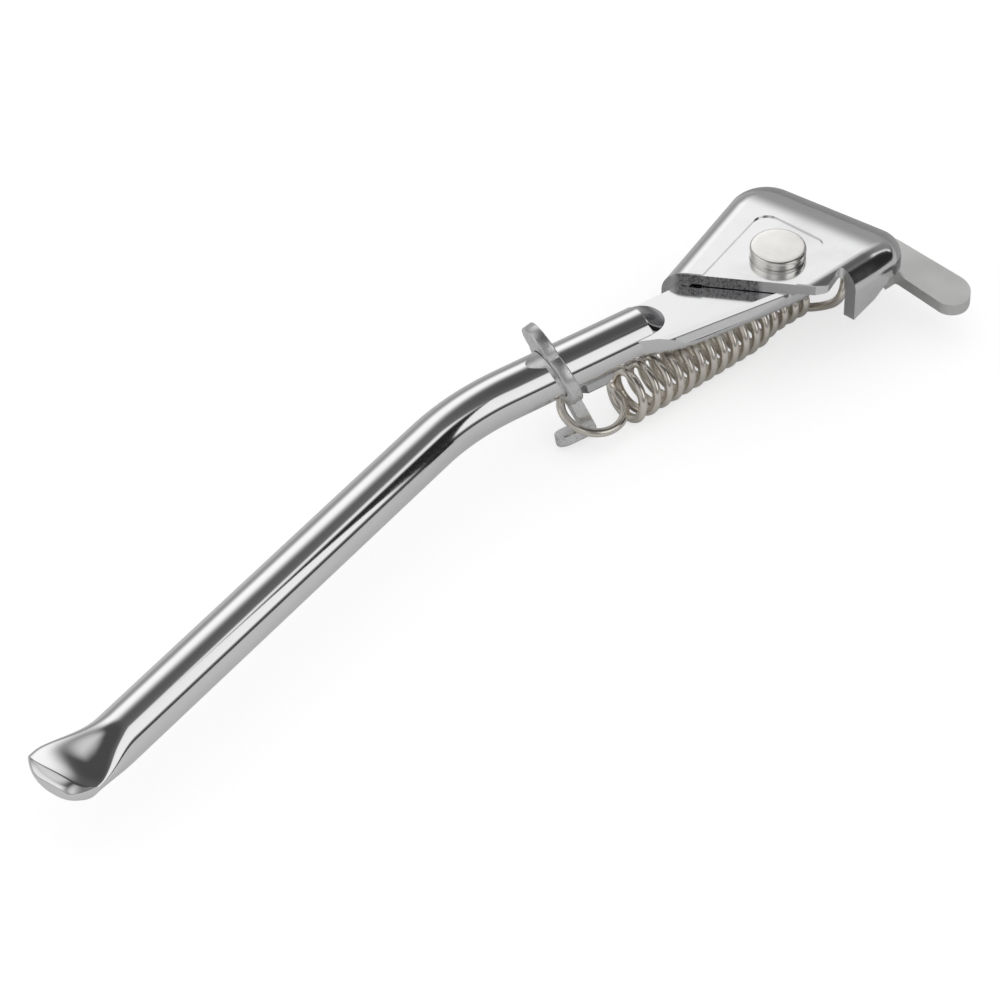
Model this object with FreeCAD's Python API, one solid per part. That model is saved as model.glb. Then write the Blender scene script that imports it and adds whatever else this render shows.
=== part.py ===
"""Bicycle side stand: pressed head bracket, riveted swing leg, over-centre tension spring.

Everything is drawn about the pivot: Z runs up the rivet, z = 0 is the top face of the bracket
plate, X runs along the bracket's back wall. The finished solids are then moved so that the
origin is the middle of the mounting face, between the two frame screws. Millimetres, degrees.
"""
import FreeCAD, Part
import math
import os

V = FreeCAD.Vector
UP = V(0, 0, 1)
ORIGIN = V(0, 0, 0)

# Drawing aids: a cutter's reach past a face, a length longer than the head, a match tolerance
PAST = 1.0
FAR = 80.0
NEAR = 1e-3

# Head bracket, one pressed sheet: plan corners from the front left, anticlockwise
SHEET = 4.0
BEND_OUT = 7.0
BEND_IN = BEND_OUT - SHEET
PLATE_A = (-25.2, -26.3)
PLATE_E1 = (17.3, -6.6)
PLATE_E2 = (20.0, -3.4)
PLATE_NOTCH = (18.8, 7.3)
PLATE_EAR = (20.9, 5.3)
PLATE_D = (25.2, 4.7)
PLATE_C = (32.0, 31.6)
PLATE_B = (-28.6, 31.6)
CORNER_B = 13.0
CORNER_C = 9.0
CORNER_E = 2.5
NOTCH_R = 1.2
EAR_R = 0.6
REAR_Y = 12.0
LEFT_X = -12.0

# Side wall: its lower edge, and where it slopes down to the back wall
SIDE_WALL_Z = -14.0
SIDE_WALL_END_Y = 12.0
SIDE_WALL_SLOPE = 8.0
SIDE_WALL_INSIDE_X = -14.0

# Ear: lower edge as distance along the fold and height
EAR_EDGE = ((-6.0, -18.8), (0.0, -18.2), (9.0, -14.8), (15.5, -10.0), (36.0, -10.0))
EAR_TRIM_IN = SHEET + 2.5
EAR_TRIM_DEEP = 30.0

# Pressed panel around the rivet
PANEL = ((-13.8, -34.0), (-14.5, 15.2), (9.6, 13.0), (13.6, -22.0))
PANEL_CORNERS = (0.0, 5.0, 4.0, 0.0)
PANEL_STEP = 0.5
PANEL_LAP = 0.1

# Mounting flange with the two frame screws, and the tongue that runs on past the head
FLANGE_TOP = -18.0
FLANGE_BOTTOM = FLANGE_TOP - SHEET
FLANGE = ((-23.0, 28.5), (26.0, 30.5), (50.2, 24.5), (49.2, 39.0), (16.6, 45.3), (-23.0, 45.3))
FLANGE_CORNERS = (0.0, 0.0, 5.5, 9.0, 25.0, 8.0)
FLANGE_ROOT_R = 2.0
FLANGE_ROOT_MIN = 20.0
SCREW_R = 3.3
SCREW_PITCH = 18.0
MOUNT = V(-6.0, 38.6, FLANGE_BOTTOM)

# Rivet
RIVET_HEAD_R = 8.7
RIVET_HEAD_H = 3.6
RIVET_SHANK_R = 6.0
RIVET_TAIL_R = 8.3
RIVET_TAIL_H = 2.1
RIVET_EDGE = 0.8
RUN_CLEARANCE = 0.05
SIDE_PLAY = 0.3

# Leg: blade, shoulder, rod, bend, foot. Stations run down the leg from the pivot
ROD_R = 8.0
BLADE_T = 8.0
BLADE_TOP = -SHEET - PANEL_STEP - SIDE_PLAY
LEG_Z = BLADE_TOP - BLADE_T / 2
LEG_ANGLE = 249.0
ROD_OFFSET = -3.5
BLADE_LEFT = -10.0
BLADE_LEFT_R = 0.5
BLADE_RIGHT = 12.0
BLADE_RIGHT_LOW = 9.4
BLADE_RIGHT_END = 1.5
BLADE_TAIL_S = -12.0
BLADE_STRAIGHT_S = 4.0
BLADE_TAPER_S = 44.0
BLADE_END_S = 60.0
BLADE_CORNERS = (9.5, 10.5, 20.0, 30.0, 0.0, 0.0)
BLADE_EDGE_R = 3.8
SHOULDER_S = 50.0
SHOULDER_TIP_S = 38.0
SHOULDER_TIP_R = 3.2
SHOULDER_MID = (45.6, 5.0)
SHOULDER_LAP = 5.0
BEND_S = 115.9
BEND_R = 95.0
LOWER_ANGLE = 268.2
FOOT_START = 146.0
FOOT_FAT = ROD_R + 0.03
# Foot sections: distance from the bend point, width left, width right, half thickness, rise
FOOT = (
    (FOOT_START, FOOT_FAT, FOOT_FAT, FOOT_FAT, 0.0),
    (158.0, 8.3, 8.0, 7.4, 0.1),
    (170.0, 10.4, 8.2, 5.7, 0.4),
    (181.0, 13.6, 9.0, 4.0, 1.0),
    (187.6, 14.8, 9.6, 3.2, 1.4),
)
FOOT_LIP = ((188.9, 13.5, 8.7, 2.6, 1.2), (190.0, 10.0, 6.2, 1.9, 1.0))
FOOT_POINTS = 20

# Spring: coils between two points, a loop at the leg, a long hook at the head
WIRE_R = 1.4
COIL_R = 7.5
COILS = 15
COIL_STEPS = 12
COIL_START = -20.0
COIL_EXTRA_STEPS = 11
SPRING_FROM = V(-18.4, -57.6, -25.0)
SPRING_TO = V(0.6, 12.5, -24.5)
LOOP_R = 9.85
LOOP_BACK = 10.2
LOOP_SIDE = -3.0
LOOP_RISE = 0.3
LOOP_TILT = -14.0
LOOP_START = -38.0
LOOP_SWEEP = -270.0
LOOP_STEPS = 9
HOOK_HOLE = V(9.5, 29.6, -13.0)
HOOK_HOLE_R = 2.4
HOOK_BENDS = (
    V(9.9, 9.4, -23.0), V(12.4, 12.6, -19.9), V(13.4, 18.0, -16.9), V(11.6, 24.0, -14.3),
)
HOOK_END = (V(0, 1.4, 0), V(1.6, 4.4, 0.4), V(5.0, 4.9, 0.4))

# Hook plate on the rod, leaning with the spring's pull, and the lug it pulls against
HOOK_PLATE_S = 80.0
HOOK_PLATE_T = 3.8
HOOK_YAW = -4.4
HOOK_LEAN = 17.7
HOOK_RING_R = 11.4
HOOK_LOBE = 5.9
HOOK_LOBE_R = 8.0
HOOK_ARM = (5.6, 21.8)
HOOK_ARM_R = 3.0
HOOK_TAB_L = 9.5
HOOK_TAB_T = 3.8
HOOK_TAB_W = 6.0
HOOK_TAB_R = 1.8
ROD_FIT = 0.1
LUG_END_S = 74.3
LUG_LENGTH = 13.0
LUG_SLOPE = 6.0
LUG_WIDTH = 5.0
LUG_DROP = 4.0
LUG_TIP = 0.8
LUG_ROOT = 1.5
LUG_SIDE = 34.0


def ray(angle):
    """Unit vector in the plate's plane."""
    a = math.radians(angle)
    return V(math.cos(a), math.sin(a), 0)


def outline(points, radii, z):
    """Closed wire through plan points, with a round of its own at each corner."""
    count = len(points)
    rounds = []
    starts = []
    ends = []
    for i in range(count):
        here = V(points[i][0], points[i][1], z)
        before = V(points[i - 1][0], points[i - 1][1], z)
        after = V(points[(i + 1) % count][0], points[(i + 1) % count][1], z)
        back = (before - here).normalize()
        on = (after - here).normalize()
        half = back.getAngle(on) / 2
        run = radii[i] / math.tan(half)
        start = here + back * run
        end = here + on * run
        starts.append(start)
        ends.append(end)
        if radii[i] > 0:
            inward = (back + on).normalize()
            middle = here + inward * (radii[i] / math.sin(half) - radii[i])
            rounds.append([Part.Arc(start, middle, end).toShape()])
        else:
            rounds.append([])
    wire = []
    for i in range(count):
        wire += rounds[i]
        wire.append(Part.makeLine(ends[i], starts[(i + 1) % count]))
    return Part.Wire(wire)


def slab(points, radii, z_low, z_high):
    """Prism on a rounded plan outline."""
    return Part.Face(outline(points, radii, z_low)).extrude(UP * (z_high - z_low))


def prism(corners, run):
    """Prism on a flat polygon of points."""
    return Part.Face(Part.makePolygon(list(corners) + [corners[0]])).extrude(run)


def edges_where(shape, test):
    """Edges whose middle point passes the test."""
    found = []
    for e in shape.Edges:
        middle = e.valueAt((e.FirstParameter + e.LastParameter) / 2)
        if test(middle, e):
            found.append(e)
    return found


def along(start, end, distance, side):
    """Point at a distance along a plan line, then sideways to its left."""
    line = V(end[0] - start[0], end[1] - start[1], 0).normalize()
    left = V(-line.y, line.x, 0)
    p = V(start[0], start[1], 0) + line * distance + left * side
    return (p.x, p.y)


def crossing(p, q, r, s):
    """Plan point where line p-q meets line r-s."""
    d1 = (q[0] - p[0], q[1] - p[1])
    d2 = (s[0] - r[0], s[1] - r[1])
    t = ((r[0] - p[0]) * d2[1] - (r[1] - p[1]) * d2[0]) / (d1[0] * d2[1] - d1[1] * d2[0])
    return (p[0] + t * d1[0], p[1] + t * d1[1])


def bracket_hollow():
    """Inside of the three walls, one sheet further in and open at the front."""
    a_in = along(PLATE_B, PLATE_A, FAR, SHEET)
    b_from = along(PLATE_B, PLATE_A, 0, SHEET)
    d_in = along(PLATE_D, PLATE_C, -PAST, SHEET)
    c_from = along(PLATE_D, PLATE_C, PAST, SHEET)
    back_from = along(PLATE_C, PLATE_B, 0, SHEET)
    back_on = along(PLATE_C, PLATE_B, PAST, SHEET)
    b_in = crossing(a_in, b_from, back_from, back_on)
    c_in = crossing(d_in, c_from, back_from, back_on)
    plan = (a_in, (FAR, a_in[1]), (FAR, d_in[1] - REAR_Y), d_in, c_in, b_in)
    radii = (0.0, 0.0, 0.0, 0.0, CORNER_C - SHEET, CORNER_B - SHEET)
    hollow = slab(plan, radii, FLANGE_BOTTOM - PAST, -SHEET)

    def inner_bend(m, e):
        rear = m.y > REAR_Y
        left = m.x < LEFT_X and m.y > a_in[1] + PAST
        return abs(m.z + SHEET) < NEAR and (rear or left)

    return hollow.makeFillet(BEND_IN, edges_where(hollow, inner_bend))


def head_bracket():
    points = (
        PLATE_A, PLATE_E1, PLATE_E2, PLATE_NOTCH, PLATE_EAR, PLATE_D, PLATE_C, PLATE_B,
    )
    radii = (0.0, CORNER_E, CORNER_E, NOTCH_R, EAR_R, 0.0, CORNER_C, CORNER_B)
    shell = slab(points, radii, FLANGE_BOTTOM, 0)

    def outer_bend(m, e):
        rear = m.y > PLATE_C[1] - CORNER_C
        left = m.x < PLATE_A[0] - NEAR
        right = m.x > PLATE_D[0] + NEAR
        return abs(m.z) < NEAR and (rear or left or right)

    shell = shell.makeFillet(BEND_OUT, edges_where(shell, outer_bend))
    bracket = shell.cut(bracket_hollow())

    # Side wall stops just below the blade, and slopes down to the back wall
    low = FLANGE_BOTTOM - PAST
    side = (
        V(-FAR, -FAR, SIDE_WALL_Z),
        V(-FAR, SIDE_WALL_END_Y, SIDE_WALL_Z),
        V(-FAR, SIDE_WALL_END_Y + SIDE_WALL_SLOPE, low),
        V(-FAR, -FAR, low),
    )
    bracket = bracket.cut(prism(side, V(FAR + SIDE_WALL_INSIDE_X, 0, 0)))

    # Ear: cut obliquely along its lower edge
    fold = (V(*PLATE_C, 0) - V(*PLATE_D, 0)).normalize()
    out = V(fold.y, -fold.x, 0)
    trim = [V(*PLATE_D, 0) + fold * t + UP * z - out * EAR_TRIM_IN for t, z in EAR_EDGE]
    trim.append(V(trim[-1].x, trim[-1].y, low))
    trim.append(V(trim[0].x, trim[0].y, low))
    bracket = bracket.cut(prism(trim, out * EAR_TRIM_DEEP))

    # Flange and tongue
    flange = slab(FLANGE, FLANGE_CORNERS, FLANGE_BOTTOM, FLANGE_TOP)
    bracket = bracket.fuse(flange).removeSplitter()

    def root(m, e):
        on_top = abs(m.z - FLANGE_TOP) < NEAR
        at_wall = abs(m.y - PLATE_B[1]) < NEAR
        return on_top and at_wall and e.Length > FLANGE_ROOT_MIN

    bracket = bracket.makeFillet(FLANGE_ROOT_R, edges_where(bracket, root))

    # Pressed panel: sunk on top, standing proud underneath where it bears on the blade
    under = -SHEET - PANEL_STEP
    plan = slab(points, radii, under, -SHEET + PANEL_LAP)
    proud = slab(PANEL, PANEL_CORNERS, under, -SHEET + PANEL_LAP).common(plan)
    sunk = slab(PANEL, PANEL_CORNERS, -PANEL_STEP, PAST)
    bracket = bracket.fuse(proud).cut(sunk)

    # Rivet hole, spring-hook hole, frame-screw holes
    bracket = bracket.cut(Part.makeCylinder(RIVET_SHANK_R, FAR, V(0, 0, -FAR / 2), UP))
    hook_from = HOOK_HOLE - V(0, SHEET, 0)
    bracket = bracket.cut(Part.makeCylinder(HOOK_HOLE_R, 2 * SHEET, hook_from, V(0, 1, 0)))
    for side_x in (-SCREW_PITCH / 2, SCREW_PITCH / 2):
        at = MOUNT + V(side_x, 0, -PAST)
        bracket = bracket.cut(Part.makeCylinder(SCREW_R, SHEET + 2 * PAST, at, UP))
    return bracket.removeSplitter()


def pivot_rivet():
    seat = -PANEL_STEP
    head_top = seat + RIVET_HEAD_H
    head = Part.makeCylinder(RIVET_HEAD_R, RIVET_HEAD_H, V(0, 0, seat), UP)
    head = head.makeFillet(RIVET_EDGE, edges_where(head, lambda m, e: abs(m.z - head_top) < NEAR))
    tail_top = BLADE_TOP - BLADE_T - SIDE_PLAY
    tail_low = tail_top - RIVET_TAIL_H
    shank = Part.makeCylinder(RIVET_SHANK_R, seat - tail_top, V(0, 0, tail_top), UP)
    tail = Part.makeCylinder(RIVET_TAIL_R, RIVET_TAIL_H, V(0, 0, tail_low), UP)
    tail = tail.makeFillet(RIVET_EDGE, edges_where(tail, lambda m, e: abs(m.z - tail_low) < NEAR))
    return head.fuse(shank).fuse(tail).removeSplitter()


def leg_point(s, w, z=LEG_Z):
    """Point on the leg: s away from the pivot along it, w to the side it folds towards."""
    return ray(LEG_ANGLE) * s + ray(LEG_ANGLE + 90) * w + UP * z


def lower_point(d, w, z):
    """Point on the lower leg: d past the bend point, w to the folding side, z above its axis."""
    knee = leg_point(BEND_S, ROD_OFFSET)
    return knee + ray(LOWER_ANGLE) * d + ray(LOWER_ANGLE + 90) * w + UP * z


def blade():
    """Flat forged end: rounded along the right and at the tail, square along the left."""
    wide = BLADE_LEFT - BLADE_EDGE_R
    plan = (
        leg_point(BLADE_TAIL_S, wide),
        leg_point(BLADE_TAIL_S, BLADE_RIGHT),
        leg_point(BLADE_STRAIGHT_S, BLADE_RIGHT),
        leg_point(BLADE_TAPER_S, BLADE_RIGHT_LOW),
        leg_point(BLADE_END_S, BLADE_RIGHT_END),
        leg_point(BLADE_END_S, wide),
    )
    bottom = BLADE_TOP - BLADE_T
    flat = slab([(p.x, p.y) for p in plan], BLADE_CORNERS, bottom, BLADE_TOP)

    def rim(m, e):
        level = abs(m.z - BLADE_TOP) < NEAR or abs(m.z - bottom) < NEAR
        return level and m.dot(ray(LEG_ANGLE)) < BLADE_END_S - NEAR

    flat = flat.makeFillet(BLADE_EDGE_R, edges_where(flat, rim))
    waste = prism(
        (
            leg_point(-FAR, BLADE_LEFT, bottom - PAST),
            leg_point(FAR, BLADE_LEFT, bottom - PAST),
            leg_point(FAR, BLADE_LEFT - FAR, bottom - PAST),
            leg_point(-FAR, BLADE_LEFT - FAR, bottom - PAST),
        ),
        UP * (BLADE_T + 2 * PAST),
    )
    return flat.cut(waste)


def shoulder():
    """Hollowed half-moon end of the rod, turned about the rod's axis."""
    def turned(s, r):
        return leg_point(s, ROD_OFFSET) + UP * r

    tip = turned(SHOULDER_TIP_S, SHOULDER_TIP_R)
    brow = turned(SHOULDER_S, ROD_R)
    end_s = SHOULDER_S + SHOULDER_LAP
    profile = Part.Wire([
        Part.makeLine(turned(SHOULDER_TIP_S, 0), tip),
        Part.Arc(tip, turned(*SHOULDER_MID), brow).toShape(),
        Part.makeLine(brow, turned(end_s, ROD_R)),
        Part.makeLine(turned(end_s, ROD_R), turned(end_s, 0)),
        Part.makeLine(turned(end_s, 0), turned(SHOULDER_TIP_S, 0)),
    ])
    return Part.Face(profile).revolve(turned(SHOULDER_TIP_S, 0), ray(LEG_ANGLE), 360)


def rod():
    """Round rod: straight, one bend in the plate's plane, straight."""
    half_turn = math.radians(LOWER_ANGLE - LEG_ANGLE) / 2
    tangent = BEND_R * math.tan(half_turn)
    bend_in = leg_point(BEND_S - tangent, ROD_OFFSET)
    bend_out = lower_point(tangent, 0, 0)
    inward = (ray(LOWER_ANGLE) - ray(LEG_ANGLE)).normalize()
    bend_mid = lower_point(0, 0, 0) + inward * (BEND_R / math.cos(half_turn) - BEND_R)
    start = leg_point(SHOULDER_S, ROD_OFFSET)
    path = Part.Wire([
        Part.makeLine(start, bend_in),
        Part.Arc(bend_in, bend_mid, bend_out).toShape(),
        Part.makeLine(bend_out, lower_point(FOOT_START, 0, 0)),
    ])
    ring = Part.makeCircle(ROD_R, start, ray(LEG_ANGLE))
    return path.makePipeShell([Part.Wire([ring])], True, False)


def foot_section(d, left, right, thick, rise):
    """Closed lens-like section: half a flattened ellipse to each side of the axis."""
    pts = []
    for k in range(FOOT_POINTS):
        a = 2 * math.pi * k / FOOT_POINTS
        wide = right if math.cos(a) > 0 else left
        pts.append(lower_point(d, wide * math.cos(a), thick * math.sin(a) + rise))
    curve = Part.BSplineCurve()
    curve.interpolate(pts, PeriodicFlag=True)
    return Part.Wire([curve.toShape()])


def leg():
    flare = Part.makeLoft([foot_section(*row) for row in FOOT], True, False)
    lip_rows = (FOOT[-1],) + FOOT_LIP
    lip = Part.makeLoft([foot_section(*row) for row in lip_rows], True, True)
    solid = blade().fuse([shoulder(), rod(), flare, lip]).removeSplitter()
    hole = Part.makeCylinder(RIVET_SHANK_R + RUN_CLEARANCE, FAR, V(0, 0, -FAR / 2), UP)
    return solid.cut(hole)


def spring_path():
    """Wire centre line: loop at the leg, coils, long hook into the back wall."""
    axis = (SPRING_TO - SPRING_FROM).normalize()
    side = axis.cross(UP).normalize()
    over = side.cross(axis)
    total = (SPRING_TO - SPRING_FROM).Length
    pts = []

    # Loop, tipped a little towards the floor, running into the first coil
    tilt = math.radians(LOOP_TILT)
    across = side * math.cos(tilt) + over * math.sin(tilt)
    centre = SPRING_FROM - axis * LOOP_BACK + side * LOOP_SIDE + UP * LOOP_RISE
    for k in range(LOOP_STEPS):
        a = math.radians(LOOP_START + LOOP_SWEEP * k / (LOOP_STEPS - 1))
        pts.append(centre + axis * (LOOP_R * math.cos(a)) + across * (LOOP_R * math.sin(a)))

    # Coils, ending at the lower right so that the wire leaves upwards
    steps = COILS * COIL_STEPS
    for k in range(steps + COIL_EXTRA_STEPS + 1):
        turn = 2 * math.pi * k / COIL_STEPS + math.radians(COIL_START)
        ring = side * math.cos(turn) + over * math.sin(turn)
        pts.append(SPRING_FROM + axis * (total * k / steps) + ring * COIL_R)

    # Hook: up past the side of the coils to the wall, through it and round
    pts += HOOK_BENDS
    pts += [HOOK_HOLE + step for step in HOOK_END]
    return pts


def tension_spring():
    curve = Part.BSplineCurve()
    curve.interpolate(spring_path())
    edge = curve.toShape()
    start = edge.valueAt(edge.FirstParameter)
    heading = edge.tangentAt(edge.FirstParameter)
    ring = Part.Wire([Part.makeCircle(WIRE_R, start, heading)])
    return Part.Wire([edge]).makePipeShell([ring], True, True)


def hook_plate():
    """Stamped ring plate on the rod, with an arm whose end is bent to the foot."""
    lean = math.radians(HOOK_LEAN)
    to_foot = ray(LEG_ANGLE + HOOK_YAW) * math.cos(lean) - UP * math.sin(lean)
    right = ray(LEG_ANGLE + HOOK_YAW + 90)
    down = right.cross(to_foot)
    ring_c = leg_point(HOOK_PLATE_S, ROD_OFFSET) - to_foot * (HOOK_PLATE_T / 2)
    arm = right * HOOK_ARM[0] + down * HOOK_ARM[1]
    arm_c = ring_c + arm
    arm.normalize()
    side = arm.cross(to_foot) * HOOK_ARM_R
    ring = Part.makeCylinder(HOOK_RING_R, HOOK_PLATE_T, ring_c, to_foot)
    strip = prism((ring_c - side, ring_c + side, arm_c + side, arm_c - side), to_foot * HOOK_PLATE_T)
    end = Part.makeCylinder(HOOK_ARM_R, HOOK_PLATE_T, arm_c, to_foot)
    lobe = Part.makeCylinder(HOOK_LOBE_R, HOOK_PLATE_T, ring_c - arm * HOOK_LOBE, to_foot)
    plate = ring.fuse([strip, end, lobe])

    # Tab, level with the rod
    rod_way = ray(LEG_ANGLE)
    tab_down = (arm - rod_way * arm.dot(rod_way)).normalize()
    tab_side = tab_down.cross(rod_way)
    inner = arm_c + arm * (HOOK_ARM_R - HOOK_TAB_T) - tab_side * (HOOK_TAB_W / 2)
    corners = (
        inner,
        inner + tab_side * HOOK_TAB_W,
        inner + tab_side * HOOK_TAB_W + tab_down * HOOK_TAB_T,
        inner + tab_down * HOOK_TAB_T,
    )
    tab = prism(corners, rod_way * (HOOK_PLATE_T + HOOK_TAB_L))
    tab_end = inner + rod_way * (HOOK_PLATE_T + HOOK_TAB_L)

    def end_corner(m, e):
        return abs((m - tab_end).dot(rod_way)) < NEAR and abs(e.Length - HOOK_TAB_T) < NEAR

    tab = tab.makeFillet(HOOK_TAB_R, edges_where(tab, end_corner))
    bore_from = leg_point(HOOK_PLATE_S - FAR / 2, ROD_OFFSET)
    bore = Part.makeCylinder(ROD_R + ROD_FIT, FAR, bore_from, rod_way)
    return plate.fuse(tab).removeSplitter().cut(bore)


def stop_lug():
    """Small fin on the rod's underside, its end facing the hook plate."""
    a = math.radians(LUG_SIDE)
    outward = ray(LEG_ANGLE + 90) * math.sin(a) - UP * math.cos(a)
    across = outward.cross(ray(LEG_ANGLE)).normalize()
    axis = leg_point(LUG_END_S, ROD_OFFSET)
    base = axis + outward * (ROD_R - LUG_ROOT) - across * (LUG_WIDTH / 2)
    back = ray(LEG_ANGLE) * -1
    corners = (
        base,
        base + outward * (LUG_DROP + LUG_ROOT),
        base + outward * (LUG_DROP + LUG_ROOT) + back * LUG_SLOPE,
        base + outward * (LUG_TIP + LUG_ROOT) + back * LUG_LENGTH,
        base + back * LUG_LENGTH,
    )
    fin = prism(corners, across * LUG_WIDTH)
    core = Part.makeCylinder(ROD_R, FAR, axis + back * (FAR / 2), ray(LEG_ANGLE))
    return fin.cut(core)


def save(shape, name):
    """Move to the mounting face's frame, check, write."""
    moved = shape.copy()
    moved.translate(ORIGIN - MOUNT)
    solids = moved.Solids
    if len(solids) != 1 or not moved.isValid():
        raise ValueError("%s is not one valid solid" % name)
    solids[0].exportStep("parts/%s.step" % name)
    print(name, round(solids[0].Volume), "mm3")


os.makedirs("parts", exist_ok=True)
save(head_bracket(), "head_bracket")
save(pivot_rivet(), "pivot_rivet")
save(leg(), "leg")
save(tension_spring(), "tension_spring")
save(hook_plate(), "spring_hook_plate")
save(stop_lug(), "stop_lug")
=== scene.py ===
"""Bicycle side stand: pressed head, forged leg, hook plate and wound spring, in a plain studio."""
import math

import bmesh
import bpy
import numpy as np
from bpy.props import FloatProperty, FloatVectorProperty, IntProperty, PointerProperty
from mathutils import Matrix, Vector


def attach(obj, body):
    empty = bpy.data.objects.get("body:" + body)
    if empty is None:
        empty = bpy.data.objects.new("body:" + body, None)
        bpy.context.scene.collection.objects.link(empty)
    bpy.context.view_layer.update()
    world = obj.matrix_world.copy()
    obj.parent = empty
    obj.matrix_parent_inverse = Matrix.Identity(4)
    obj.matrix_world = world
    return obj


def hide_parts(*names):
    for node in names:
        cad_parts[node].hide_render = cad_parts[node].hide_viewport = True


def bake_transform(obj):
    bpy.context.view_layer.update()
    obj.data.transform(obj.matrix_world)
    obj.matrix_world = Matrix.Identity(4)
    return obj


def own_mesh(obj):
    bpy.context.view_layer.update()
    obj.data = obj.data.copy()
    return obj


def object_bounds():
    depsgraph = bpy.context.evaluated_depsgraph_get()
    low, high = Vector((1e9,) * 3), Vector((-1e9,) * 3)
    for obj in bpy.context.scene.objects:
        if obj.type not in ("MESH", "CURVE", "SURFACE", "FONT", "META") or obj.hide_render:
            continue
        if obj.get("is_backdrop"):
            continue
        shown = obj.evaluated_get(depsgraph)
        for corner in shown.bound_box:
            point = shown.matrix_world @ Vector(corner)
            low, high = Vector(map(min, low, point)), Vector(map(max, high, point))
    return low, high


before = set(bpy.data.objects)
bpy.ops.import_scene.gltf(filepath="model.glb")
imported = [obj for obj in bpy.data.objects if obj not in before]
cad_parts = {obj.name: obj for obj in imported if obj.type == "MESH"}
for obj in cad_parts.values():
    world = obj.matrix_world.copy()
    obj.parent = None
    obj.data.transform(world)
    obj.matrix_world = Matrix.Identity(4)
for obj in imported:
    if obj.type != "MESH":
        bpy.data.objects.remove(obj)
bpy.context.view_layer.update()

bl_info = {
    "name": "Bicycle side stand",
    "version": (1, 0, 0),
    "blender": (4, 5, 0),
    "location": "3D View > Sidebar > Side stand",
    "description": "Finishes, leg, wound spring and studio for a bicycle side stand",
    "category": "Object",
}

MM = 0.001

# Pieces are worked out in millimetres about the pivot, z = 0 at the plate's top, then moved here
PIVOT = np.array((6.0, -38.6, 22.0))
UP = np.array((0.0, 0.0, 1.0))


# Settings

def colour_setting(name, text, value):
    """Setting of a colour."""
    return FloatVectorProperty(name=name, description=text, default=value, subtype="COLOR")


def number_setting(name, text, value, **more):
    """Setting of a number."""
    return FloatProperty(name=name, description=text, default=value, **more)


def length_setting(name, text, size):
    """Setting of a length, its default in millimetres."""
    return number_setting(name, text, size * MM, unit="LENGTH", precision=5)


def angle_setting(name, text, degrees):
    """Setting of an angle, its default in degrees."""
    return number_setting(name, text, math.radians(degrees), subtype="ANGLE")


def count_setting(name, text, value, low):
    """Setting of a whole number."""
    return IntProperty(name=name, description=text, default=value, min=low)


class HeadSettings(bpy.types.PropertyGroup):
    """Finish of the pressed head and size of the rivet's head."""

    chrome: colour_setting("Chrome", "Colour of the polished plating", (0.90, 0.90, 0.905))
    satin: colour_setting("Tongue", "Colour of the dull tongue", (0.80, 0.80, 0.79))
    rivet: colour_setting("Rivet", "Colour of the rivet's plating", (1.0, 0.98, 0.945))
    rivet_radius: length_setting("Rivet head", "Radius of the rivet's head", 8.7)


class LegSettings(bpy.types.PropertyGroup):
    """Sizes of the forged leg."""

    rod_radius: length_setting("Rod radius", "Half the rod's thickness", 8.0)
    bend_radius: length_setting("Bend radius", "Radius of the bend's middle line", 95.0)
    angle: angle_setting("Upper direction", "Direction of the upper leg in plan", 249.0)
    lower_angle: angle_setting("Lower direction", "Direction of the lower leg in plan", 268.2)
    sides: count_setting("Sides", "Points round the rod", 120, 24)


class SpringSettings(bpy.types.PropertyGroup):
    """Sizes of the wound tension spring."""

    wire_radius: length_setting("Wire radius", "Half the wire's thickness", 1.4)
    coil_radius: length_setting("Coil radius", "Coil axis to wire centre", 7.5)
    loop_radius: length_setting("Loop radius", "Loop centre to wire centre", 9.85)
    coils: count_setting("Coils", "Whole turns", 15, 1)
    around: count_setting("Sides", "Points round the wire", 18, 6)
    per_span: count_setting("Stations", "Stations between two route points", 7, 2)
    keep: number_setting("Folded length", "Share of the length left at the swing's limit", 0.738)
    colour: colour_setting("Nickel", "Colour of the wire's plating", (0.95, 0.90, 0.82))


class ClipSettings(bpy.types.PropertyGroup):
    """Sizes of the stamped hook plate."""

    thickness: length_setting("Thickness", "Thickness of the stamped plate", 3.8)
    ring_radius: length_setting("Ring radius", "Round of the plate about the rod", 11.4)
    lean: angle_setting("Lean", "Lean of the plate under the spring's pull", 20.0)
    zinc: colour_setting("Zinc", "Colour of the plating", (0.92, 0.92, 0.925))


class StageSettings(bpy.types.PropertyGroup):
    """Camera and studio light."""

    place: FloatVectorProperty(
        name="Camera place", description="Where the camera stands",
        default=(0.6059, -1.1022, 1.0438), unit="LENGTH"
    )
    look: FloatVectorProperty(
        name="Camera direction", description="Where the camera looks",
        default=(-0.4046, 0.6135, -0.6782)
    )
    lens: number_setting("Lens", "Focal length in mm on a 36 mm sensor", 187.3)
    floor_size: length_setting("Floor", "Side of the floor", 6000.0)
    dome: number_setting("Dome", "Level of the light that falls on matt surfaces", 0.95)


# Node helpers

def node(tree, kind, inputs=None, **props):
    """Adds a node, sets its properties and fills its inputs with values or links."""
    made = tree.nodes.new(kind)
    for key, value in props.items():
        setattr(made, key, value)
    for key, value in (inputs or {}).items():
        if isinstance(value, bpy.types.NodeSocket):
            tree.links.new(value, made.inputs[key])
        else:
            made.inputs[key].default_value = value
    return made


def maths(tree, operation, a, b=0.0, c=0.0, clamp=False):
    """One maths node's result."""
    made = node(tree, "ShaderNodeMath", {0: a, 1: b, 2: c}, operation=operation, use_clamp=clamp)
    return made.outputs[0]


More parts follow.
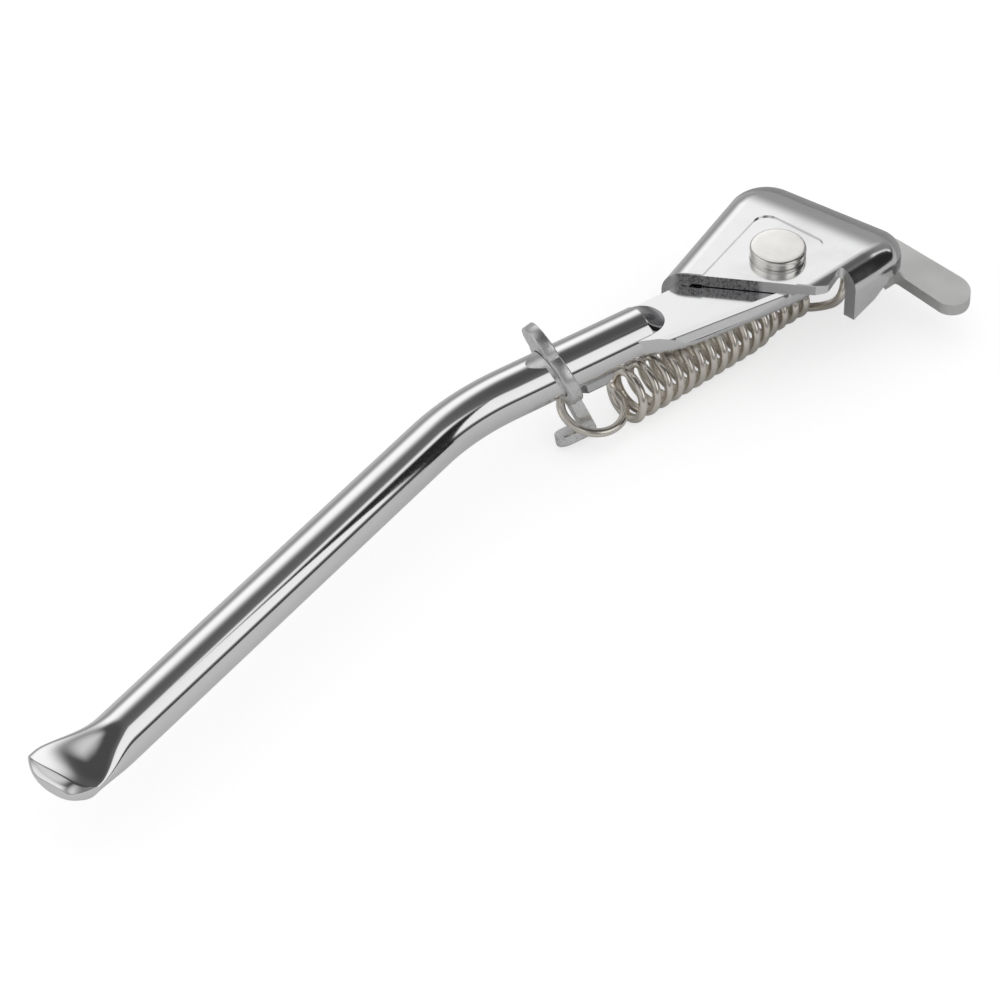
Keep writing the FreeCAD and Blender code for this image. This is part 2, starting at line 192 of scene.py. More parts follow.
def ramp(tree, value, low, high, to_low=0.0, to_high=1.0):
    """Smooth step of a value from one range to another."""
    made = node(
        tree,
        "ShaderNodeMapRange",
        {"Value": value, "From Min": low, "From Max": high, "To Min": to_low, "To Max": to_high},
        interpolation_type="SMOOTHSTEP",
    )
    return made.outputs["Result"]


def window(tree, value, low, high, soft):
    """1 between two limits, with soft edges."""
    up = ramp(tree, value, low - soft, low + soft)
    down = ramp(tree, value, high - soft, high + soft, 1.0, 0.0)
    return maths(tree, "MULTIPLY", up, down)


def blend_colours(tree, share, first, second):
    """Mix of two colours, each a value or a link."""
    inputs = {0: share}
    for index, colour in ((6, first), (7, second)):
        is_link = isinstance(colour, bpy.types.NodeSocket)
        inputs[index] = colour if is_link else (*colour, 1.0)
    return node(tree, "ShaderNodeMix", inputs, data_type="RGBA").outputs[2]


def use_group(tree, fill, place, **numbers):
    """Value of a node group in a material; a function fills the group when it is first used."""
    name = fill.__name__.replace("_", " ").capitalize()
    group = bpy.data.node_groups.get(name)
    if group is None:
        group = bpy.data.node_groups.new(name, "ShaderNodeTree")
        sockets = group.interface
        sockets.new_socket(name="Vector", in_out="INPUT", socket_type="NodeSocketVector")
        for label in numbers:
            sockets.new_socket(name=label, in_out="INPUT", socket_type="NodeSocketFloat")
        sockets.new_socket(name="Value", in_out="OUTPUT", socket_type="NodeSocketFloat")
        given = group.nodes.new("NodeGroupInput").outputs
        node(group, "NodeGroupOutput", {"Value": fill(group, given)})
    placed = node(tree, "ShaderNodeGroup", {"Vector": place, **numbers}, node_tree=group)
    return placed.outputs["Value"]


def noise(tree, place, scale, detail, rough=0.5, distort=0.0):
    """Noise by place."""
    sizes = {"Scale": scale, "Detail": detail, "Roughness": rough, "Distortion": distort}
    return node(tree, "ShaderNodeTexNoise", {"Vector": place, **sizes}).outputs[0]


def fine_grain(tree, given):
    """Fine grain: two sizes of noise added, about 0.5 on average."""
    fine = noise(tree, given["Vector"], given["Scale"], 3.0, 0.6)
    wide = noise(tree, given["Vector"], maths(tree, "MULTIPLY", given["Scale"], 0.21), 2.0)
    return maths(tree, "MULTIPLY", maths(tree, "ADD", fine, wide), 0.5)


def handling_marks(tree, given):
    """Handling marks: wide soft patches that dull the shine here and there."""
    return ramp(tree, noise(tree, given["Vector"], given["Scale"], 4.0, 0.55, 0.6), 0.42, 0.72)


def torn_specks(tree, given):
    """Pits and torn spots: small specks that cover part of a face, more of them by Cover."""
    level = maths(tree, "SUBTRACT", 1.0, given["Cover"])
    gap = maths(tree, "SUBTRACT", noise(tree, given["Vector"], given["Scale"], 5.0, 0.7), level)
    return maths(tree, "MULTIPLY_ADD", gap, 6.0, 0.5, clamp=True)


def empty_material(name):
    """New material without nodes, and its tree."""
    made = bpy.data.materials.new(name)
    made.use_nodes = True
    made.node_tree.nodes.clear()
    return made, made.node_tree


def dimmed(colour, share):
    """Darker shade of a colour."""
    return tuple(share * c for c in colour)


EVEN = (1.0, 1.0, 1.0)


class Metal:
    """Metal whose colour and shine vary with grain and handling marks."""

    def __init__(self, name, colour, dull, rough, rough_more, grain_scale, bump, stretch=EVEN):
        self.made, self.tree = empty_material(name)
        self.place = node(self.tree, "ShaderNodeTexCoord").outputs["Object"]
        self.parts = node(self.tree, "ShaderNodeSeparateXYZ", {0: self.place}).outputs
        grain = use_group(self.tree, fine_grain, self.stretched(stretch), Scale=grain_scale)
        marks = use_group(self.tree, handling_marks, self.place, Scale=45.0)
        half = maths(self.tree, "MULTIPLY", grain, 0.5)
        tone = maths(self.tree, "MULTIPLY_ADD", marks, 0.5, half)
        self.colour = blend_colours(self.tree, tone, colour, dull)
        self.shine = maths(self.tree, "MULTIPLY_ADD", tone, rough_more, rough)
        self.height = maths(self.tree, "MULTIPLY", grain, bump)

    def stretched(self, stretch):
        """Place on the piece, scaled along its axes."""
        made = node(self.tree, "ShaderNodeMapping", {"Vector": self.place, "Scale": stretch})
        return made.outputs[0]

    def specks(self, colour, scale, cover, deep, rough, where=None, stretch=EVEN):
        """Adds torn specks of another colour, sunk by a depth, all over or where a mask says."""
        place = self.stretched(stretch)
        mask = use_group(self.tree, torn_specks, place, Scale=scale, Cover=cover)
        if where is not None:
            mask = maths(self.tree, "MULTIPLY", mask, where)
        self.colour = blend_colours(self.tree, mask, self.colour, colour)
        self.shine = maths(self.tree, "MULTIPLY_ADD", mask, rough, self.shine)
        self.height = maths(self.tree, "MULTIPLY_ADD", mask, -deep, self.height)

    def paint(self, mask, colour, rough=0.0):
        """Another colour and shine where a mask says: a torn finish, painted highlights and
        painted reflections.
        """
        self.colour = blend_colours(self.tree, mask, self.colour, colour)
        self.shine = maths(self.tree, "MULTIPLY_ADD", mask, rough, self.shine)

    def line(self, x, y, z=0.0, offset=0.0):
        """Distance in metres along a direction, from the place of an offset in millimetres."""
        total = maths(self.tree, "MULTIPLY", self.parts[0], x)
        total = maths(self.tree, "MULTIPLY_ADD", self.parts[1], y, total)
        total = maths(self.tree, "MULTIPLY_ADD", self.parts[2], z, total)
        return maths(self.tree, "SUBTRACT", total, offset * MM)

    def done(self):
        """Closes the material with its shader."""
        push = node(
            self.tree, "ShaderNodeBump", {"Strength": 1.0, "Distance": 1.0, "Height": self.height}
        )
        shader = node(
            self.tree,
            "ShaderNodeBsdfPrincipled",
            {
                "Base Color": self.colour,
                "Roughness": self.shine,
                "Metallic": 1.0,
                "Normal": push.outputs[0],
            },
        )
        node(self.tree, "ShaderNodeOutputMaterial", {"Surface": shader.outputs[0]})
        return self.made


# Mesh helpers

def ray(angle):
    """Unit vector in plan."""
    return np.array((math.cos(angle), math.sin(angle), 0.0))


def to_row(points):
    """Millimetres about the pivot to the shared frame in metres."""
    return (points + PIVOT) * MM


def linked(name, data):
    """New object with its data, in the scene."""
    made = bpy.data.objects.new(name, data)
    bpy.context.scene.collection.objects.link(made)
    return made


def skin_faces(stations, sides, loop):
    """Corner numbers of a grid's quads, closed round the sides and, if asked, along."""
    ahead = stations if loop else stations - 1
    i = np.arange(ahead)[:, None]
    j = np.arange(sides)[None, :]
    after = (i + 1) % stations
    beside = (j + 1) % sides
    grid = (i * sides + j, i * sides + beside, after * sides + beside, after * sides + j)
    return np.stack(np.broadcast_arrays(*grid), axis=-1).reshape(-1, 4)


def surface(name, rings, loop=False, crease=None):
    """Closed skin through rings of points, one after another, a flat face at each open end."""
    stations, sides = rings.shape[:2]
    points = rings.reshape(-1, 3)
    quads = skin_faces(stations, sides, loop)
    a, b, c, d = (points[quads[:, k]] for k in range(4))
    volume = np.einsum("ij,ij->", a, np.cross(b, c)) + np.einsum("ij,ij->", a, np.cross(c, d))
    ends = []
    if not loop:
        ends = [np.arange(sides)[::-1], (stations - 1) * sides + np.arange(sides)]
        for end in ends:
            hub = points[end[0]]
            volume += np.einsum("j,ij->", hub, np.cross(points[end[1:-1]], points[end[2:]]))
    if volume < 0:
        quads = quads[:, ::-1]
        ends = [end[::-1] for end in ends]
    corners = np.concatenate([quads.ravel()] + ends).astype(np.int32)
    totals = np.concatenate((np.full(len(quads), 4), [len(end) for end in ends])).astype(np.int32)
    starts = np.concatenate(([0], np.cumsum(totals)[:-1])).astype(np.int32)
    mesh = bpy.data.meshes.new(name)
    mesh.vertices.add(len(points))
    mesh.vertices.foreach_set("co", points.reshape(-1).astype(np.float32))
    mesh.loops.add(len(corners))
    mesh.loops.foreach_set("vertex_index", corners)
    mesh.polygons.add(len(totals))
    mesh.polygons.foreach_set("loop_start", starts)
    mesh.update(calc_edges=True)
    mesh.polygons.foreach_set("use_smooth", np.ones(len(totals), dtype=bool))
    if crease is not None:
        mesh.set_sharp_from_angle(angle=math.radians(crease))
    mesh.validate()
    return linked(name, mesh)


def turned(profile, sides):
    """Rings of a profile of radius and height turned about the pivot's axis."""
    around = np.arange(sides) / sides * 2 * math.pi
    flat = np.stack((np.cos(around), np.sin(around), np.zeros(sides)), axis=-1)
    return profile[:, 0, None, None] * flat + profile[:, 1, None, None] * UP


def arc(centre, radius, start, stop, count):
    """Points of a plane arc by degrees."""
    a = np.radians(np.linspace(start, stop, count))
    return np.stack((centre[0] + radius * np.cos(a), centre[1] + radius * np.sin(a)), axis=-1)


def cubic(share, gap, ends, bends):
    """Cubic between two points a gap apart, from its second slopes at both."""
    low, high = ends
    sag = ((1 - share) ** 3 - (1 - share)) * bends[0] + (share ** 3 - share) * bends[1]
    return low * (1 - share) + high * share + sag * gap ** 2 / 6


def smooth_route(points, per_span):
    """Natural cubic curve through the route's points, by distance between them."""
    gaps = np.linalg.norm(np.diff(points, axis=0), axis=1)
    count = len(points)
    system = np.zeros((count, count))
    right = np.zeros((count, points.shape[1]))
    system[0, 0] = system[-1, -1] = 1.0
    rows = np.arange(1, count - 1)
    system[rows, rows - 1] = gaps[:-1]
    system[rows, rows] = 2 * (gaps[:-1] + gaps[1:])
    system[rows, rows + 1] = gaps[1:]
    slopes = np.diff(points, axis=0) / gaps[:, None]
    right[1:-1] = 6 * np.diff(slopes, axis=0)
    bend = np.linalg.solve(system, right)
    at = np.linspace(0, count - 1, (count - 1) * per_span + 1)
    span = np.minimum(at.astype(int), count - 2)
    share = (at - span)[:, None]
    gap = gaps[span][:, None]
    return cubic(share, gap, (points[span], points[span + 1]), (bend[span], bend[span + 1]))


def tube_rings(line, radius, sides):
    """Circles square to a line; each keeps the last one's turn, so the wire isn't twisted."""
    way = np.gradient(line, axis=0)
    way /= np.linalg.norm(way, axis=1, keepdims=True)
    across = np.empty_like(way)
    last = np.cross(way[0], UP)
    for k, ahead in enumerate(way):
        last = last - ahead * last.dot(ahead)
        last = last / math.sqrt(last.dot(last))
        across[k] = last
    other = np.cross(way, across)
    turn = np.arange(sides) / sides * 2 * math.pi
    cos, sin = np.cos(turn)[None, :, None], np.sin(turn)[None, :, None]
    ring = across[:, None, :] * cos + other[:, None, :] * sin
    return line[:, None, :] + ring * radius


MERGE_WITHIN = 2e-7


def merged_copy(node_name, name):
    """Copy of a CAD node with its loose triangles joined and its smooth normals kept."""
    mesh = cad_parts[node_name].data.copy()
    mesh.name = name
    normals = np.empty(len(mesh.loops) * 3, dtype=np.float32)
    mesh.corner_normals.foreach_get("vector", normals)
    work = bmesh.new()
    work.from_mesh(mesh)
    bmesh.ops.remove_doubles(work, verts=work.verts, dist=MERGE_WITHIN)
    work.to_mesh(mesh)
    work.free()
    if len(mesh.loops) * 3 == len(normals):
        mesh.normals_split_custom_set(normals.reshape(-1, 3).tolist())
    return linked(name, mesh)


def coat(item, slot, *materials):
    """Gives a piece its materials; the slot is not used."""
    item.data.materials.clear()
    for material in materials:
        item.data.materials.append(material)


def dress(item, body, *nodes):
    """Lets a piece ride on a body, in place of CAD nodes."""
    if nodes:
        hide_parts(*nodes)
    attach(item, body)


# Head

# Roll-off at the back of the top plate: its start and radius in millimetres, the slope past its
# bowl, and in metres that slope's rise and where the bowl gives way to it
ROLL_START = 14.0
ROLL_RADIUS = 28.0
ROLL_SLOPE = 0.364
ROLL_RISE = 0.00186
ROLL_CHANGE = (0.0099, 0.0105)

# Ways that the sheared edges at the front and on the ear face, and how near a face has to be
FRONT_CUT = np.array((0.4206, -0.9073, 0.0))
EAR_CUT = np.array((-0.138, -0.990, 0.0))
FACING = 0.97

# Part of the front edge that is torn and darker, its darker tone painted shade reflected from
# under the plate: where the edge starts, and the part's ends and softness from there
EDGE_START = -44.72
TORN_AND_SHADE = (4.5 * MM, 30.0 * MM, 1.2 * MM)
# Painted highlight under the plate's top, along the sheared edge: how far down it starts to fade
# and is gone
EDGE_HIGHLIGHT = (0.35, 0.75)

# Finishes of the head, by material slot
SKIN, ROLLED, SHEARED, TONGUE = range(4)


def roll_height(metal):
    """Height of the roll-off: a parabola of the roll's radius, then a straight slope."""
    tree = metal.tree
    back = maths(tree, "MAXIMUM", metal.line(0.0, 1.0, 0.0, ROLL_START + PIVOT[1]), 0.0)
    square = maths(tree, "POWER", back, 2.0)
    bowl = maths(tree, "MULTIPLY", square, -1 / (2 * ROLL_RADIUS * MM))
    slope = maths(tree, "MULTIPLY_ADD", back, -ROLL_SLOPE, ROLL_RISE)
    change = ramp(tree, back, *ROLL_CHANGE)
    mixed = node(tree, "ShaderNodeMix", {0: change, 2: bowl, 3: slope}, data_type="FLOAT")
    return mixed.outputs[0]


def sheared_metal():
    """Dull sheared edge; along a part of the front it is torn and darkened by painted shade
    reflected from under the plate, and a painted highlight runs along the plate's top edge.
    """
    edge = Metal(
        "Sheared edge", (0.66, 0.66, 0.67), (0.50, 0.50, 0.51),
        0.22, 0.16, 900.0, 1e-5, (1.0, 1.0, 0.25),
    )
    far = edge.line(-FRONT_CUT[1], FRONT_CUT[0], 0.0, EDGE_START)
    # Torn, speckled part of the front edge; its darker tone is painted shade reflected from under
    # the plate
    torn = window(edge.tree, far, *TORN_AND_SHADE)
    edge.paint(torn, (0.44, 0.44, 0.45), 0.22)
    edge.specks((0.12, 0.12, 0.125), 1700.0, 0.46, 4e-5, 0.1, torn, (1.0, 1.0, 0.55))
    # Painted highlight: a brighter band along the top of the sheared edge, standing in for light
    # on its rounded rim
    top = PIVOT[2]
    rim = ramp(edge.tree, edge.parts[2], (top - EDGE_HIGHLIGHT[1]) * MM, (top - EDGE_HIGHLIGHT[0]) * MM)
    edge.paint(rim, (0.9, 0.9, 0.905), -0.2)
    return edge


def head_metals(settings):
    """Polished skin, the skin where the plate rolls off, sheared edges, and the dull tongue."""
    chrome, satin = tuple(settings.chrome), tuple(settings.satin)
    worn = dimmed(chrome, 0.93)
    plain = Metal("Bracket chrome", chrome, worn, 0.12, 0.10, 700.0, 2e-6)
    rolled = Metal("Bracket chrome, rolled", chrome, worn, 0.12, 0.10, 700.0, 2e-6)
    rolled.height = maths(rolled.tree, "ADD", rolled.height, roll_height(rolled))
    rolled.specks((0.55, 0.53, 0.53), 1500.0, 0.24, 2e-6, 0.15)
    dull = Metal("Tongue satin", satin, dimmed(satin, 0.94), 0.36, 0.08, 2400.0, 5e-6)
    return plain.done(), rolled.done(), sheared_metal().done(), dull.done()


def head_finish(mesh):
    """Finish of each face of the head, by the way it faces and its place about the pivot."""
    facts = np.empty((2, len(mesh.polygons) * 3), dtype=np.float32)
    mesh.polygons.foreach_get("center", facts[0])
    mesh.polygons.foreach_get("normal", facts[1])
    middle, normal = facts.reshape(2, -1, 3)
    x, y, z = (middle / MM - PIVOT).T
    rise = normal[:, 2]
    finish = np.full(len(middle), SKIN, dtype=np.int32)
    finish[(rise > 0.05) & (y > 0.0)] = ROLLED
    finish[(normal @ FRONT_CUT > FACING) & (y < 0.0)] = SHEARED
    finish[(normal @ EAR_CUT > FACING) & (x > 20.0) & (y < 8.0)] = SHEARED
    finish[(z < -17.4) & (y > 26.0) & (rise > -0.5)] = TONGUE
    return finish


class STAND_OT_head(bpy.types.Operator):
    """Finishes the pressed head: polished skin, rolled-off back, sheared edges and dull tongue"""

    bl_idname = "stand.head"
    bl_label = "Head bracket"

    def execute(self, context):
        shell = merged_copy("head_bracket", "head_shell")
        coat(shell, "bracket_chrome", *head_metals(context.scene.stand_head))
        shell.data.polygons.foreach_set("material_index", head_finish(shell.data))
        dress(shell, "bracket", "head_bracket")
        return {"FINISHED"}


def rivet_profile(radius):
    """Radius and height from the tail's middle up to the head's.

    Formed tail, shank, undercut head and soft rim, each of straight lines and arcs.
    """
    tail = np.concatenate((
        [(0.02, -15.2)],
        arc((7.5, -14.4), 0.8, -90, 0, 5),
        [(8.3, -13.2), (8.2, -13.1), (6.0, -13.1)],
    ))
    shank = [(6.0, -0.7), (6.0, -0.5), (7.5, -0.5)]
    neck = arc((7.3, 0.55), radius - 7.3, -75, 0, 6)
    side = [(radius, 0.95), (radius, 1.5), (radius, 2.2)]
    rim = arc((radius - 0.85, 2.25), 0.85, 8, 90, 8)
    crown = [(radius - 2.2, 3.12), (radius - 4.5, 3.14), (0.02, 3.15)]
    return np.concatenate((tail, shank, neck, side, rim, crown))


class STAND_OT_rivet(bpy.types.Operator):
    """Turns the pivot rivet with its undercut head"""

    bl_idname = "stand.rivet"
    bl_label = "Pivot rivet"

    def execute(self, context):
        settings = context.scene.stand_head
        rings = turned(rivet_profile(settings.rivet_radius / MM), 128)
        rivet = surface("rivet_turned", to_row(rings), crease=40.0)
        colour = tuple(settings.rivet)
        worn = dimmed(colour, 0.95)
        nickel = Metal("Rivet nickel", colour, worn, 0.2, 0.12, 1600.0, 3e-6)
        nickel.specks((0.60, 0.57, 0.53), 900.0, 0.2, 4e-6, 0.1)
        coat(rivet, "rivet_nickel", nickel.done())
        dress(rivet, "bracket", "pivot_rivet")
        return {"FINISHED"}


# Leg

# Places along the upper leg from the pivot, and along the lower leg from the knee
NOSE_END = 50.0
NOSE_LONG = 8.0
LUG_AT = 74.5
KNEE = 115.9
FOOT_START = 164.0
FOOT_LONG = 22.0
FOOT_END = 187.2
LIP_LONG = 3.0

# Rod's middle line and blade's flat top, beside and below the pivot's axis and the plate's top
ROD_SIDE = -3.5
ROD_HEIGHT = -8.8
BLADE_TOP = -4.8
BLADE_DEEP = 8.0

# Foot's middle and half width in its section
FOOT_MIDDLE = np.array((-3.0, -1.0))
FOOT_HALF = 11.2

# Blade's right edge and its crease: along the leg, to the side
BLADE_EDGE = np.array(((-12.0, 12.0), (4.0, 12.0), (44.0, 9.4), (60.0, 1.5), (70.0, -3.4)))
BLADE_CREASE = ((-2.0, 11.1), (56.0, 5.64))
# Its bevel: past the crease, drop
BLADE_BEVEL = np.array(((0.0, 0.0), (0.96, 1.15), (1.41, 2.15), (1.90, 4.2), (9.0, 4.2)))
BLADE_LEFT = -10.0
# Round corners of its tail, right and left: where each starts, radius
TAIL_RIGHT = (-1.5, 10.5)
TAIL_LEFT = (-2.5, 9.5)
# Round of its lower right edge
UNDER_ROUND = 3.6

RIVET_HOLE = 6.05
BORE_SPAN = (-30.0, 20.0)

# Upper leg's way and the pivot's distance along it in the shared frame, for the nose's painted
# dark reflection
LEG_WAY = (-0.3584, -0.9336, 0.0)
LEG_PIVOT = 33.89


def leg_place(settings, s, w, z):
    """Point s along the upper leg from the pivot, w to its folding side, at a height."""
    return ray(settings.angle) * s + ray(settings.angle + math.pi / 2) * w + UP * z


def closed_curve(angles, values, at):
    """Periodic cubic through values at rising angles in degrees, read at other angles."""
    gaps = np.diff(np.append(angles, angles[0] + 360.0))
    before = np.roll(gaps, 1)
    slopes = (np.roll(values, -1, axis=0) - values) / gaps[:, None]
    count = len(angles)
    system = np.diag(2 * (before + gaps))
    rows = np.arange(count)
    system[rows, (rows - 1) % count] += before
    system[rows, (rows + 1) % count] += gaps
    bend = np.linalg.solve(system, 6 * (slopes - np.roll(slopes, 1, axis=0)))
    place = (at - angles[0]) % 360.0
    span = np.clip(np.searchsorted(angles - angles[0], place, side="right") - 1, 0, count - 1)
    gap = gaps[span][:, None]
    share = (place - (angles[span] - angles[0]))[:, None] / gap
    after = (span + 1) % count
    return cubic(share, gap, (values[span], values[after]), (bend[span], bend[after]))


def foot_tip(at):
    """Section of the foot at its tip, by angle: a full round underside, a shallow dish on top."""
    marks = np.array((
        (35.0, 6.4, 1.6), (60.0, 2.6, 2.6), (90.0, -3.5, 3.1), (120.0, -10.0, 2.9),
        (145.0, -13.8, 2.4), (185.0, -14.2, 0.3), (228.0, -9.0, -3.0), (270.0, -1.0, -4.2),
        (312.0, 6.0, -3.2), (355.0, 8.2, 0.2),
    ))
    return closed_curve(marks[:, 0], marks[:, 1:], at)


def ease(x):
    """Smoother step from 0 to 1."""
    x = np.clip(x, 0.0, 1.0)
    return x ** 3 * (x * (6 * x - 15) + 10)


def rod_circle(settings):
    """Angles in degrees round the rod, and its section at them."""
    at = np.arange(settings.sides) / settings.sides * 360.0
    circle = np.stack((np.cos(np.radians(at)), np.sin(np.radians(at))), axis=-1)
    return at, circle * (settings.rod_radius / MM)


def bend_sizes(settings):
    """Radius and half angle of the bend, and the distance of its ends from the knee."""
    radius = settings.bend_radius / MM
    half = (settings.lower_angle - settings.angle) / 2
    return radius, half, radius * math.tan(half)


def nose_rings(settings):
    """Rod from its nose on the blade to the bend.

    Circles are drawn in to a rounded outline on the blade by a power of the distance left to the
    nose's end, and their tops fall away from a brow by another.
    """
    tangent = bend_sizes(settings)[2]
    circle = rod_circle(settings)[1]
    side = ray(settings.angle + math.pi / 2)
    left = np.concatenate((np.linspace(1.0, 0.0, 24), np.zeros(30)))[:, None]
    s = np.concatenate((
        NOSE_END - NOSE_LONG * left[:24, 0],
        np.linspace(NOSE_END + 0.4, KNEE - tangent, 30),
    ))
    high = BLADE_TOP - ROD_HEIGHT
    w = circle[:, 0] * np.sqrt(np.maximum(1 - left ** 2.2, 0.004))
    z = np.repeat(circle[None, :, 1], len(left), axis=0)
    above = high + (z - high) * np.maximum(1 - left, 0.02) ** 1.8
    under = np.where(left > 0, 0.1, 0.0) + (z + high) * np.clip(1 - 2 * left, 0.0, 1.0) - high
    z = np.where(z > high, above, np.where(z < -high, under, z))
    centre = ray(settings.angle) * s[:, None] + side * ROD_SIDE + UP * ROD_HEIGHT
    return centre[:, None] + side * w[:, :, None] + UP * z[:, :, None]


def bend_rings(settings):
    """Bend of the rod: circles along an arc in plan."""
    bend, half, tangent = bend_sizes(settings)
    circle = rod_circle(settings)[1]
    turn = np.linspace(0, 2 * half, 40)[1:-1]
    hub = leg_place(settings, KNEE - tangent, ROD_SIDE + bend, ROD_HEIGHT)
    sides = np.stack([ray(settings.angle + t + math.pi / 2) for t in turn])
    centre = hub - sides * bend
    return centre[:, None] + sides[:, None] * circle[None, :, :1] + UP * circle[None, :, 1:]


def foot_rings(settings):
    """Lower rod and its pressed foot.

    The circle blends by a smoother step into the tip's section, the corners are pulled back by a
    fourth power of their distance from the middle, and the end shrinks about its middle.
    """
    tangent = bend_sizes(settings)[2]
    at, circle = rod_circle(settings)
    way, side = ray(settings.lower_angle), ray(settings.lower_angle + math.pi / 2)
    knee = leg_place(settings, KNEE, ROD_SIDE, ROD_HEIGHT)
    down = np.concatenate((np.linspace(tangent, 160.0, 40), np.linspace(160.8, FOOT_END, 70)))
    share = ease((down - FOOT_START) / FOOT_LONG)[:, None, None]
    section = circle[None] * (1 - share) + foot_tip(at)[None] * share
    lip = np.linspace(0.0, 1.0, 12)[1:]
    shrink = (1 - 0.62 * lip)[:, None, None]
    section = np.concatenate((section, FOOT_MIDDLE + (section[-1:] - FOOT_MIDDLE) * shrink))
    down = np.concatenate((down, FOOT_END + LIP_LONG * (1 - (1 - lip) ** 1.7)))
    off = section[:, :, 0] - FOOT_MIDDLE[0]
    pull = ease((down - 176.0) / 14.0)[:, None] * (off / FOOT_HALF) ** 4
    pull *= np.where(off > 0, 4.5, 1.2)
    along = (down[:, None] - pull)[:, :, None]
    return knee + way * along + side * section[:, :, :1] + UP * section[:, :, 1:]


def rod_rings(settings):
    """Rod from its nose on the blade, round the bend, to the pressed foot."""
    return np.concatenate((nose_rings(settings), bend_rings(settings), foot_rings(settings)))


def round_end(s, start, radius):
    """How far a round corner has drawn in at s, before the place where it starts."""
    past = np.maximum(start - s, 0.0)
    return radius - np.sqrt(np.maximum(radius ** 2 - past ** 2, 0.0))


def blade_rings(settings):
    """Flat forged end: a bar section along the leg, its right edge drawn in, bevelled at a crease.

    The right edge is straight, then tapers, then runs in to the rod, its corners softened by a
    running mean; the tail is round. The bevel's drop grows with the distance past the crease, at
    three slopes, down to the side.
    """
    s = np.concatenate((
        BLADE_EDGE[0, 0] + TAIL_RIGHT[1] * (1 - np.cos(np.linspace(0, math.pi / 2, 16)))[1:],
        np.linspace(0.0, 60.0, 76),
    ))
    sharp = np.interp(s, *BLADE_EDGE.T)
    soft = np.array([np.interp(s + t, *BLADE_EDGE.T) for t in np.linspace(-10.0, 10.0, 21)])
    right = np.where(s > BLADE_EDGE[1, 0], soft.mean(axis=0), sharp)
    right -= round_end(s, *TAIL_RIGHT)
    left = BLADE_LEFT + round_end(s, *TAIL_LEFT)
    (first, wide), (last, narrow) = BLADE_CREASE
    crease = wide + (s - first) / (last - first) * (narrow - wide)
    steps, drops = BLADE_BEVEL.T
    low = BLADE_TOP - BLADE_DEEP
    rows = [(left, np.full_like(s, BLADE_TOP))]
    for step in steps[:-1]:
        w = np.minimum(crease + step, right)
        rows.append((w, BLADE_TOP - np.interp(w - crease, steps, drops)))
    rows.append((right, BLADE_TOP - np.interp(right - crease, steps, drops)))
    for a in np.radians(np.arange(0.0, 91.0, 9.0)):
        height = low + UNDER_ROUND * (1 - math.sin(a))
        rows.append((right - UNDER_ROUND * (1 - math.cos(a)), np.full_like(s, height)))
    rows.append((left, np.full_like(s, low)))
    w = np.stack([row[0] for row in rows], axis=1)
    z = np.stack([row[1] for row in rows], axis=1)
    way, side = ray(settings.angle), ray(settings.angle + math.pi / 2)
    return way * s[:, None, None] + side * w[:, :, None] + UP * z[:, :, None]


def lug_rings(settings):
    """Fin on the rod's underside: a bar section whose depth falls off away from the plate."""
    turn = math.radians(34.0)
    out = ray(settings.angle + math.pi / 2) * math.sin(turn) - UP * math.cos(turn)
    way = ray(settings.angle)
    across = np.cross(out, way)
    s = np.array((0.0, 0.3, 7.0, 9.5, 10.4))
    deep = np.array((1.9, 2.1, 2.1, 1.2, 0.4))
    wide = np.array((2.3, 2.5, 2.5, 2.5, 2.4))
    start = leg_place(settings, LUG_AT, ROD_SIDE, ROD_HEIGHT) - way * s[:, None]
    start = start + out * (settings.rod_radius / MM)
    section = ((-1.0, None), (-1.0, 0.35), (-0.8, 0.0), (0.8, 0.0), (1.0, 0.35), (1.0, None))
    rows = []
    for share, short in section:
        sink = np.full_like(s, -1.5) if short is None else deep - short
        rows.append(start + across * (wide * share)[:, None] + out * sink[:, None])
    return np.stack(rows, axis=1)


def bored(item, radius, crease):
    """Cuts the rivet's hole through a piece, for good, and marks its sharp edges again."""
    around = turned(np.array([(radius, height) for height in BORE_SPAN]), 96)
    tool = surface("bore_tool", to_row(around))
    cut = item.modifiers.new("Rivet hole", "BOOLEAN")
    cut.operation = "DIFFERENCE"
    cut.object = tool
    cut.solver = "EXACT"
    shown = item.evaluated_get(bpy.context.evaluated_depsgraph_get())
    mesh = bpy.data.meshes.new_from_object(shown)
    item.modifiers.remove(cut)
    spare = (item.data, tool.data)
    item.data = mesh
    bpy.data.objects.remove(tool)
    for old in spare:
        bpy.data.meshes.remove(old)
    mesh.set_sharp_from_angle(angle=math.radians(crease))


